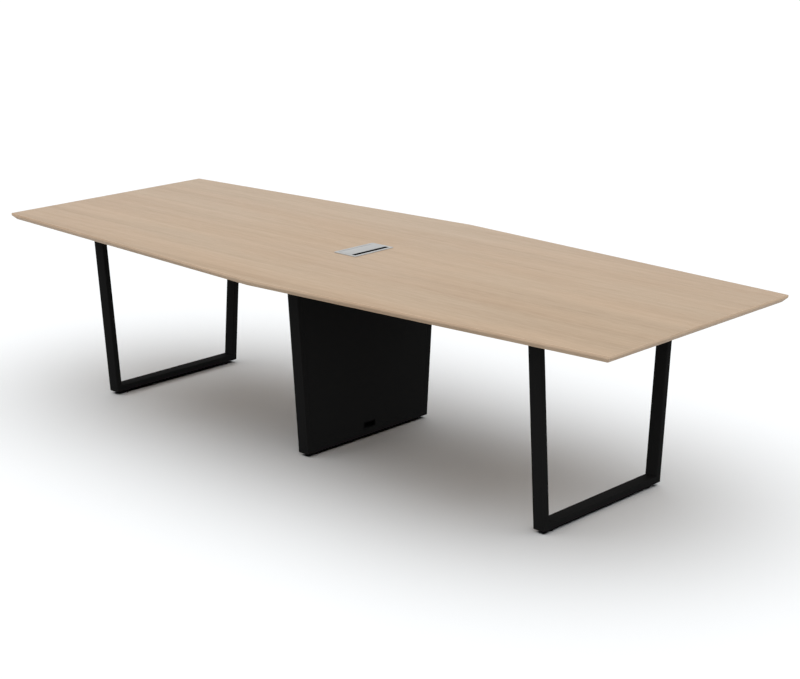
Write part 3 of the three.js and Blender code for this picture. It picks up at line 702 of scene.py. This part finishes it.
def tube_lines(name, side):
    """Outer and inner line of one tube of a frame, shortened by the weld seam."""
    corners = frame_corners(name)
    depth = tube_depth(name)
    count = len(corners)
    seam = bpy.context.scene.table_frame.weld_seam
    run = (corners[(side + 1) % count] - corners[side]).normalized()
    lines = []
    for distance in (0, depth):
        start, end = (inset_corner(corners, i % count, distance) for i in (side, side + 1))
        lines.append((start + run * seam, end - run * seam))
    return lines


def build_tubes(name):
    """Legs and bars of one loop, or the posts and the foot bar of the pedestal."""
    settings = bpy.context.scene.table_frame
    leg, corner = ("post", settings.post_round) if name == "pedestal" else ("leg", settings.tube_round)
    nodes = [f"{name}_foot_bar", f"{name}_far_{leg}", f"{name}_top_bar", f"{name}_near_{leg}"]
    for side, node in enumerate(nodes):
        if node in frame["nodes"]:
            bm = mitred_bar(tube_lines(name, side), (low(node).x, high(node).x), corner)
            make_piece(f"{node}_tube", bm, COAT, node)


def build_stub(side, sign):
    """The near or far half of the pedestal's top bar, open at its inner end."""
    node = f"pedestal_{side}_top_stub"
    settings = bpy.context.scene.table_frame
    inner_end = low(node).y if sign > 0 else high(node).y
    lines = []
    for line in tube_lines("pedestal", 2):
        outer = max(line, key=lambda spot: spot.x * sign)
        lines.append((outer, Vector((inner_end, outer.y))))
    bm = mitred_bar(lines, (low(node).x, high(node).x), settings.post_round)
    mouth = inset(bm, facing(bm, Vector((0, -sign, 0))), settings.tube_wall)
    hollow = tube_depth("pedestal") * 2
    extrude(bm, [mouth], (0, sign * hollow, 0))
    make_piece(f"{node}_tube", bm, COAT, node)


class TABLE_OT_frames(Operator):
    """Model the tubes of the two loops and of the pedestal"""

    bl_idname = "table.frames"
    bl_label = "Loops and pedestal frame"

    def execute(self, context):
        for name in LOOPS:
            build_tubes(name)
        for side, sign in SIDES:
            build_stub(side, sign)
        return {"FINISHED"}


class TABLE_OT_lugs(Operator):
    """Model the lugs that screw the frames to the board"""

    bl_idname = "table.lugs"
    bl_label = "Lugs"

    def execute(self, context):
        settings = context.scene.table_frame
        for end in FRAME_ENDS:
            node = f"{end}_lug"
            bm = rounded_plate(low(node), high(node), 2, settings.plate_round, settings.plate_edge)
            make_piece(f"{node}_plate", bm, COAT, node)
        return {"FINISHED"}


def build_beam(node):
    """A beam of rectangular tube between two flanges."""
    settings = bpy.context.scene.table_frame
    lowest, highest = low(node), high(node)
    centre = middle(node)
    reach = Vector((settings.flange, 0, 0))
    half = Vector((0, settings.beam_width / 2, 0))
    bm = bmesh.new()
    block(bm, Vector((lowest.x, centre.y, highest.z - settings.beam_depth)) - half + reach,
          Vector((highest.x, centre.y, highest.z)) + half - reach)
    soften(bm, edges_along(bm, 0), settings.tube_round, 4)
    ends = ((lowest, Vector((lowest.x + settings.flange, highest.y, highest.z))),
            (Vector((highest.x - settings.flange, lowest.y, lowest.z)), highest))
    for corner, opposite in ends:
        gather(bm, rounded_plate(corner, opposite, 0, settings.plate_round, settings.plate_edge))
    make_piece(f"{node}_tube", bm, COAT, node)


class TABLE_OT_beams(Operator):
    """Model the beams under the top"""

    bl_idname = "table.beams"
    bl_label = "Beams"

    def execute(self, context):
        for node in BEAMS:
            build_beam(node)
        return {"FINISHED"}


# Pedestal covers and cable outlet.


def build_cover(node, outer_x):
    """A folded sheet cover with rounded folds, a fine seam above the foot bar."""
    settings = bpy.context.scene.table_frame
    bm = merged_copy(node)
    for vert in bm.verts:
        if vert.co.z < low(node).z + NEAR_POINT:
            vert.co.z = high("pedestal_foot_bar").z + settings.cover_seam
    tall = (high(node).z - low(node).z) / 2
    folds = [edge for edge in bm.edges
             if all(abs(vert.co.x - outer_x) < ON_FACE for vert in edge.verts)
             and abs(edge.verts[1].co.z - edge.verts[0].co.z) > tall]
    soften(bm, folds, settings.fold_round, 4)
    make_piece(f"{node}_sheet", bm, COAT, node)


def lined_opening(clear, lip, proud, wall, depth, corner, edge):
    """A lip round an opening with a sleeve below; it looks along Z and the lip sits on Z = 0."""
    bm = bmesh.new()
    reach = Vector((clear[0] / 2 + lip, clear[1] / 2 + lip, 0))
    block(bm, -reach, reach + UP * proud)
    bottom = inset(bm, facing(bm, -UP), lip - wall)
    bottom = extrude(bm, [bottom], -UP * depth)[0]
    inset(bm, bottom, wall)
    top = inset(bm, facing(bm, UP), lip)
    open_through(bm, top, bottom)
    outer = [item for item in edges_along(bm, 2) if abs(item.verts[0].co.x) > reach.x - SAME_POINT]
    inner = [item for item in edges_along(bm, 2) if item not in outer]
    inner_corner = corner / 5
    soften(bm, outer, corner, 6)
    soften(bm, [item for item in inner if item.is_valid], inner_corner, 3)
    soften(bm, [item for item in sharp_edges(bm) if at_level(item, proud)], edge, 3)
    return bm


def build_bezel():
    """The bezel that lines the cable outlet."""
    node = "cable_outlet_bezel"
    settings = bpy.context.scene.table_port
    size = high(node) - low(node)
    clear = (size.y - 2 * settings.bezel_lip, size.z - 2 * settings.bezel_lip)
    wall = settings.bezel_wall
    edge = wall / 3
    bm = lined_opening(clear, settings.bezel_lip, wall, wall, size.x - wall, settings.bezel_corner, edge)
    seat = Vector((high(node).x - wall, middle(node).y, middle(node).z))
    bmesh.ops.transform(bm, matrix=aimed(seat, (1, 0, 0)), verts=bm.verts)
    make_piece("outlet_bezel", bm, "black_plastic", node)


def build_hanger(node):
    """A shouldered pin that the rear cover hangs on, square to its post."""
    box = high(node) - low(node)
    sign = 1 if middle(node).y < 0 else -1
    foot, _, _, head = frame_corners("pedestal")
    lean = (head - foot).normalized()
    along = Vector((0, sign * lean.y, -lean.x))
    radius = box.x / 2
    reach = (box.y - 2 * radius * along.z) / lean.y
    chamfer = radius / 6
    profile = [(0, 0), (radius, 0), (radius, reach - chamfer), (radius - chamfer, reach), (0, reach)]
    bm = turned(profile, aimed(middle(node) - along * reach / 2, along), 24)
    make_piece(f"{node}_pin", bm, ZINC, node)


class TABLE_OT_pedestal(Operator):
    """Model the pedestal's covers, hanger pins and cable outlet"""

    bl_idname = "table.pedestal"
    bl_label = "Covers and outlet"

    def execute(self, context):
        build_cover("pedestal_front_cover", high("pedestal_front_cover").x)
        build_cover("pedestal_rear_cover", low("pedestal_rear_cover").x)
        build_bezel()
        for side, _ in SIDES:
            for level in ("low", "high"):
                build_hanger(f"cover_hanger_{side}_{level}")
        return {"FINISHED"}


# Feet and fasteners.


def build_pad(node):
    """A moulded pad with soft edges and a socket for the stud."""
    settings = bpy.context.scene.table_foot
    size = high(node) - low(node)
    radius = size.x / 2
    socket = settings.stud / 2 + settings.stud_play
    profile = [(0, 0), (radius, 0), (radius, size.z), (socket, size.z), (socket, settings.pad_floor),
               (0, settings.pad_floor)]
    bm = turned(profile, upright_at(node, low(node).z), 48)
    centre = middle(node).xy
    rims = [edge for edge in sharp_edges(bm)
            if all(abs((vert.co.xy - centre).length - radius) < NEAR_POINT for vert in edge.verts)]
    soften(bm, rims, settings.pad_edge, 4)
    make_piece(f"{node}_moulding", bm, "black_plastic", node)


def build_stud(node):
    """A threaded stud with a hexagonal collar."""
    settings = bpy.context.scene.table_foot
    bottom, top = low(node).z, high(node).z
    collar_base = high(node.replace("stud", "pad")).z + settings.stud_play
    collar_chamfer = settings.collar_height / 12
    thread_depth = settings.pitch * 0.6
    crest = settings.stud / 2
    root = crest - thread_depth
    turns = int((top - bottom) / settings.pitch)
    profile = [(0, bottom)]
    for turn in range(turns):
        start = bottom + turn * settings.pitch
        profile += [(root, start), (crest, start + settings.pitch / 2)]
    profile += [(root, top), (0, top)]
    bm = turned(profile, upright_at(node), 24)
    hexagon = bmesh.new()
    bmesh.ops.create_circle(hexagon, cap_ends=True, segments=6, radius=settings.collar / 2,
                            matrix=upright_at(node, collar_base))
    extrude(hexagon, list(hexagon.faces), UP * settings.collar_height)
    outward(hexagon)
    soften(hexagon, sharp_edges(hexagon), collar_chamfer, 2)
    gather(bm, hexagon)
    make_piece(f"{node}_thread", bm, ZINC, node)


def build_insert(node):
    """The flanged insert in the foot bar that the stud screws into."""
    settings = bpy.context.scene.table_foot
    bottom, top = low(node).z, high(node).z
    radius = (high(node).x - low(node).x) / 2
    hole = settings.stud / 2 + settings.stud_play
    shank = settings.insert / 2
    neck = bottom + settings.insert_flange
    chamfer = settings.insert_flange / 3
    profile = [(hole, bottom), (radius - chamfer, bottom), (radius, bottom + chamfer), (radius, neck),
               (shank, neck), (shank, top - chamfer), (shank - chamfer, top), (hole, top)]
    bm = turned(profile, upright_at(node), 36, closed=True)
    make_piece(f"{node}_sleeve", bm, ZINC, node)


class TABLE_OT_feet(Operator):
    """Model the six levelling feet"""

    bl_idname = "table.feet"
    bl_label = "Feet"

    def execute(self, context):
        for end in FRAME_ENDS:
            build_pad(f"{end}_foot_pad")
            build_stud(f"{end}_foot_stud")
            build_insert(f"{end}_foot_insert")
        return {"FINISHED"}


# Form of a screw or bolt head, in parts of its height or of its width.
CROWN_HEIGHT = 0.25
CROWN_TAPER = 0.82
SOCKET_WALL = 0.16
SOCKET_DEPTH = 0.5
WASHER_REACH = 0.62
WASHER_HEIGHT = 0.2


def fastener_head(seat, direction, diameter, sides):
    """A screw or bolt head with a chamfered crown and a socket, on a washer."""
    height = bpy.context.scene.table_foot.fastener_height
    bm = bmesh.new()
    bmesh.ops.create_circle(bm, cap_ends=True, segments=sides, radius=diameter / 2)
    crown = extrude(bm, list(bm.faces), UP * height * (1 - CROWN_HEIGHT))
    crown = extrude(bm, crown, UP * height * CROWN_HEIGHT)
    bmesh.ops.scale(bm, vec=(CROWN_TAPER, CROWN_TAPER, 1), verts=crown[0].verts)
    socket = inset(bm, crown[0], diameter * SOCKET_WALL)
    extrude(bm, [socket], -UP * height * SOCKET_DEPTH)
    outward(bm)
    reach, thickness = diameter * WASHER_REACH, height * WASHER_HEIGHT
    gather(bm, turned([(0, 0), (reach, 0), (reach, thickness), (0, thickness)], Matrix.Identity(4), 28))
    bmesh.ops.transform(bm, matrix=aimed(seat, direction), verts=bm.verts)
    return bm


def lug_seats():
    """Seats of the screws through both ears of each lug, heads down."""
    for name in LOOPS:
        tube = f"{name}_foot_bar"
        for side, _ in SIDES:
            node = f"{name}_{side}_lug"
            for outer, inner in ((low(node).x, low(tube).x), (high(node).x, high(tube).x)):
                yield Vector(((outer + inner) / 2, middle(node).y, low(node).z)), -UP


def flange_seats():
    """Seats of the bolts through both ears of each beam's flanges."""
    steel = bpy.context.scene.table_frame
    for node in BEAMS:
        ear = ((high(node).y - low(node).y) / 2 + steel.beam_width / 2) / 2
        for face, direction in ((low(node).x + steel.flange, 1), (high(node).x - steel.flange, -1)):
            for sign in (-1, 1):
                yield Vector((face, middle(node).y + sign * ear, middle(node).z)), (direction, 0, 0)


def add_fasteners(name, seats, diameter, sides):
    """One piece with a head on each seat."""
    bm = bmesh.new()
    for seat, direction in seats:
        gather(bm, fastener_head(seat, direction, diameter, sides))
    make_piece(name, bm, ZINC)


class TABLE_OT_fasteners(Operator):
    """Model the screws of the lugs and the bolts of the beams"""

    bl_idname = "table.fasteners"
    bl_label = "Screws and bolts"

    def execute(self, context):
        settings = context.scene.table_foot
        add_fasteners("lug_screws", lug_seats(), settings.screw_head, sides=20)
        add_fasteners("flange_bolts", flange_seats(), settings.bolt_head, sides=6)
        return {"FINISHED"}


# Cable port.


def build_port_frame():
    """The port's rim and collar, with a shelf for the brush and ledges for the lid."""
    node = "port_frame"
    settings = bpy.context.scene.table_port
    size = high(node) - low(node)
    clear = size.xy - Vector((2, 2)) * settings.rim
    proud, depth = PORT_TOP - TABLE_TOP, TABLE_TOP - low(node).z
    bm = lined_opening(clear, settings.rim, proud, settings.collar, depth,
                       settings.rim_corner, settings.rim_edge)
    bmesh.ops.translate(bm, verts=bm.verts, vec=(*middle(node).xy, TABLE_TOP))
    lid = high("port_lid")
    rest = lid.z - settings.lid - settings.play
    start = low("port_lid").x + 2 * (settings.barrel + settings.rim_edge)
    end = clear.y / 2
    sunk = settings.collar / 2
    soft_edge = settings.rim_edge / 2
    spans = [((clear.x / 2 - settings.collar, -end - sunk, low(node).z + settings.play),
              (clear.x / 2 + sunk, end + sunk, low("port_brush").z - settings.play)),
             ((start, -end - sunk, rest - settings.ledge), (lid.x, settings.collar - end, rest)),
             ((start, end - settings.collar, rest - settings.ledge), (lid.x, end + sunk, rest))]
    for corner, opposite in spans:
        verts = block(bm, corner, opposite)
        edges = dict.fromkeys(edge for vert in verts for edge in vert.link_edges)
        soften(bm, edges, soft_edge, 2)
    make_piece("port_rim", bm, "satin_aluminium", node)


def bore(bm, centre, radius):
    """Bores a round hole along Y through both end faces of a piece."""
    rims = []
    for direction in (-1, 1):
        end = facing(bm, Vector((0, direction, 0)))
        place = Vector((centre.x, end.calc_center_median().y, centre.z))
        outer = list(end.edges)
        bmesh.ops.delete(bm, geom=[end], context="FACES_ONLY")
        matrix = Matrix.Translation(place) @ Matrix.Rotation(math.pi / 2, 4, "X")
        circle = bmesh.ops.create_circle(bm, segments=24, radius=radius, matrix=matrix)["verts"]
        rim = list(dict.fromkeys(edge for vert in circle for edge in vert.link_edges))
        bmesh.ops.triangle_fill(bm, use_beauty=True, edges=outer + rim, normal=(0, direction, 0))
        rims += rim
    bmesh.ops.bridge_loops(bm, edges=rims)
    outward(bm)


def build_lid():
    """The lid: a flat plate with a barrel rolled round the hinge pin and a soft free edge."""
    node = "port_lid"
    settings = bpy.context.scene.table_port
    hinge = next(joint for joint in frame["joints"] if joint["name"] == "lid_hinge")
    axis = Vector(hinge["pos_m"])
    ends = (low(node).y, high(node).y)
    top = axis.z + settings.barrel
    under = top - settings.lid
    sweep = 1.5 * math.pi + math.asin((under - axis.z) / settings.barrel)
    soft_edge = settings.lid / 4
    bm = bmesh.new()
    start = bm.verts.new((axis.x, ends[0], top))
    centre = (axis.x, ends[0], axis.z)
    bmesh.ops.spin(bm, geom=[start], cent=centre, axis=(0, -1, 0), angle=sweep, steps=22)
    bm.verts.ensure_lookup_table()
    arc = list(bm.verts)
    plate = [bm.verts.new((high(node).x, ends[0], level)) for level in (under, top)]
    side = bm.faces.new(arc + plate)
    extrude(bm, [side], (0, ends[1] - ends[0], 0))
    outward(bm)
    free = [edge for edge in edges_along(bm, 1) if abs(edge.verts[0].co.x - high(node).x) < SAME_POINT]
    soften(bm, free, soft_edge, 3)
    pin = "port_hinge_pin"
    bore(bm, axis, (high(pin).x - low(pin).x) / 2 + settings.play)
    make_piece("lid_plate", bm, "satin_aluminium", node)


def build_pin():
    """The hinge pin, with chamfered ends."""
    node = "port_hinge_pin"
    size = high(node) - low(node)
    radius = size.x / 2
    chamfer = radius / 4
    profile = [(0, 0), (radius - chamfer, 0), (radius, chamfer), (radius, size.y - chamfer),
               (radius - chamfer, size.y), (0, size.y)]
    base = Vector((middle(node).x, low(node).y, middle(node).z))
    make_piece("hinge_pin", turned(profile, aimed(base, (0, 1, 0), "X"), 24), ZINC, node)


# Spread of the bristles: share of the full reach, lean to a side, droop and its spread, width of a tip.
REACH_SPREAD = (0.93, 1.0)
SIDE_LEAN = 0.02
DROOP = (-0.015, 0.012)
TIP_TAPER = 0.6


def build_brush():
    """The brush: a spine and rows of bristles that lean a little."""
    node = "port_brush"
    settings = bpy.context.scene.table_port
    lowest, highest = low(node), high(node)
    highest.z = high("port_lid").z
    face = highest.x - settings.spine
    bm = bmesh.new()
    block(bm, (face, lowest.y, lowest.z), highest)
    soft_edge = settings.bristle * 2
    soften(bm, bm.edges, soft_edge, 2)
    dice = random.Random(settings.seed)
    depth = highest.z - lowest.z
    run = highest.y - lowest.y
    for row in range(settings.bristle_rows):
        level = lowest.z + depth * (row + 1) / (settings.bristle_rows + 1)
        strands = bmesh.new()
        for i in range(settings.bristles):
            spot = (i + 0.5 + 0.5 * (row % 2)) / (settings.bristles + 0.5)
            root = Vector((face + settings.bristle, lowest.y + run * spot, level))
            reach = (face - lowest.x) * dice.uniform(*REACH_SPREAD)
            lean = Vector((-1, dice.gauss(0, SIDE_LEAN), dice.gauss(*DROOP)))
            matrix = aimed(root, lean) @ Matrix.Translation((0, 0, reach / 2))
            bmesh.ops.create_cone(strands, cap_ends=True, segments=3, radius1=settings.bristle,
                                  radius2=settings.bristle * TIP_TAPER, depth=reach, matrix=matrix)
        gather(bm, strands)
    make_piece("brush", bm, "brush_fibre", node)


def build_well():
    """The cable well: a folded box under the cut-out, with a flange and a slot in its floor."""
    node = "cable_well"
    settings = bpy.context.scene.table_port
    wall = settings.well_wall
    soft_edge = wall / 3
    drop = (0, 0, low(node).z + wall - high(node).z)
    bm = bmesh.new()
    block(bm, (low(node).x, low(node).y, high(node).z - wall), high(node))
    outer = inset(bm, facing(bm, -UP), settings.well_flange)
    outer = extrude(bm, [outer], drop)[0]
    inner = inset(bm, facing(bm, UP), settings.well_flange + wall)
    inner = extrude(bm, [inner], drop)[0]
    for face in (outer, inner):
        inset(bm, face, wall)
        for vert in face.verts:
            for axis in (0, 1):
                vert.co[axis] = math.copysign(settings.well_outlet[axis] / 2, vert.co[axis])
    open_through(bm, inner, outer)
    soften(bm, sharp_edges(bm), soft_edge, 2)
    make_piece("well", bm, COAT, node)


class TABLE_OT_port(Operator):
    """Model the cable port: rim, lid, pin, brush and well"""

    bl_idname = "table.port"
    bl_label = "Cable port"

    def execute(self, context):
        build_port_frame()
        build_lid()
        build_pin()
        build_brush()
        build_well()
        return {"FINISHED"}


# Stage.


def seen_directly(tree):
    """1 on camera, glossy and transmission rays, else 0."""
    path = put(tree, "ShaderNodeLightPath").outputs
    seen = calculate(tree, "MAXIMUM", path["Is Camera Ray"], path["Is Glossy Ray"])
    return calculate(tree, "MAXIMUM", seen, path["Is Transmission Ray"])


def lay_floor(stage):
    """A plain pale floor that keeps the table's shadow; light from overhead alone shades it."""
    bm = bmesh.new()
    bmesh.ops.create_grid(bm, x_segments=1, y_segments=1, size=stage.floor / 2)
    material = bpy.data.materials.new("pale_floor")
    tree = emptied_tree(material)
    tint = blend_colours(tree, seen_directly(tree), opaque(stage.floor_bounce), opaque(stage.floor_shown))
    matt = put(tree, "ShaderNodeBsdfToon", {"Color": tint, "Size": stage.floor_cone, "Smooth": 0.0})
    put(tree, "ShaderNodeOutputMaterial", {"Surface": matt.outputs[0]})
    new_object("floor", bm, material)


def light_stage(stage):
    """A soft white dome; the background itself shows as plain white."""
    world = bpy.data.worlds.new("dome")
    tree = emptied_tree(world)
    towards = put(tree, "ShaderNodeTexCoord").outputs["Generated"]
    height = put(tree, "ShaderNodeSeparateXYZ", {0: towards}).outputs["Z"]
    lit = remap(tree, height, (0, stage.dome_rise), (stage.horizon, stage.dome))
    level = put(tree, "ShaderNodeMix", {0: seen_directly(tree), 2: lit, 3: 1.0}).outputs[0]
    dome = put(tree, "ShaderNodeBackground", {"Color": (1, 1, 1, 1), "Strength": level})
    put(tree, "ShaderNodeOutputWorld", {"Surface": dome.outputs[0]})
    bpy.context.scene.world = world


def place_camera(stage):
    """The camera that takes the table from its near right corner."""
    lens = bpy.data.cameras.new("camera")
    lens.lens = stage.lens
    camera = bpy.data.objects.new("camera", lens)
    camera.location = stage.place
    camera.rotation_euler = (math.pi / 2 - stage.dip, 0, stage.turn)
    bpy.context.scene.collection.objects.link(camera)
    bpy.context.scene.camera = camera


class TABLE_OT_stage(Operator):
    """Set the camera, the floor and the light"""

    bl_idname = "table.stage"
    bl_label = "Stage"

    def execute(self, context):
        stage = context.scene.table_stage
        place_camera(stage)
        lay_floor(stage)
        light_stage(stage)
        context.scene.view_settings.view_transform = "Standard"
        return {"FINISHED"}


SETTINGS = {
    "table_top": TopSettings,
    "table_frame": FrameSettings,
    "table_foot": FootSettings,
    "table_port": PortSettings,
    "table_stage": StageSettings,
}
OPERATORS = (
    TABLE_OT_stage, TABLE_OT_top, TABLE_OT_frames, TABLE_OT_lugs, TABLE_OT_beams, TABLE_OT_pedestal,
    TABLE_OT_feet, TABLE_OT_fasteners, TABLE_OT_port)


class VIEW3D_PT_table(Panel):
    """Sizes, colours and steps of the table"""

    bl_label = "Conference table"
    bl_space_type = "VIEW_3D"
    bl_region_type = "UI"
    bl_category = "Table"

    def draw(self, context):
        for operator in OPERATORS:
            self.layout.operator(operator.bl_idname)
        for name, group in SETTINGS.items():
            box = self.layout.box()
            box.label(text=group.__doc__)
            for setting in group.__annotations__:
                label = setting.replace("_", " ").capitalize()
                box.prop(getattr(context.scene, name), setting, text=label)


CLASSES = (*SETTINGS.values(), *OPERATORS, VIEW3D_PT_table)


def register():
    """Registers the classes and hangs their settings on the scene."""
    for cls in CLASSES:
        bpy.utils.register_class(cls)
    for name, group in SETTINGS.items():
        setattr(bpy.types.Scene, name, PointerProperty(type=group))


def unregister():
    """Takes the settings and the classes away again."""
    for name in SETTINGS:
        delattr(bpy.types.Scene, name)
    for cls in reversed(CLASSES):
        bpy.utils.unregister_class(cls)


def main():
    """Builds the table."""
    register()
    bpy.ops.table.stage()
    bpy.ops.table.top()
    bpy.ops.table.frames()
    bpy.ops.table.lugs()
    bpy.ops.table.beams()
    bpy.ops.table.pedestal()
    bpy.ops.table.feet()
    bpy.ops.table.fasteners()
    bpy.ops.table.port()


if __name__ == "__main__":
    main()
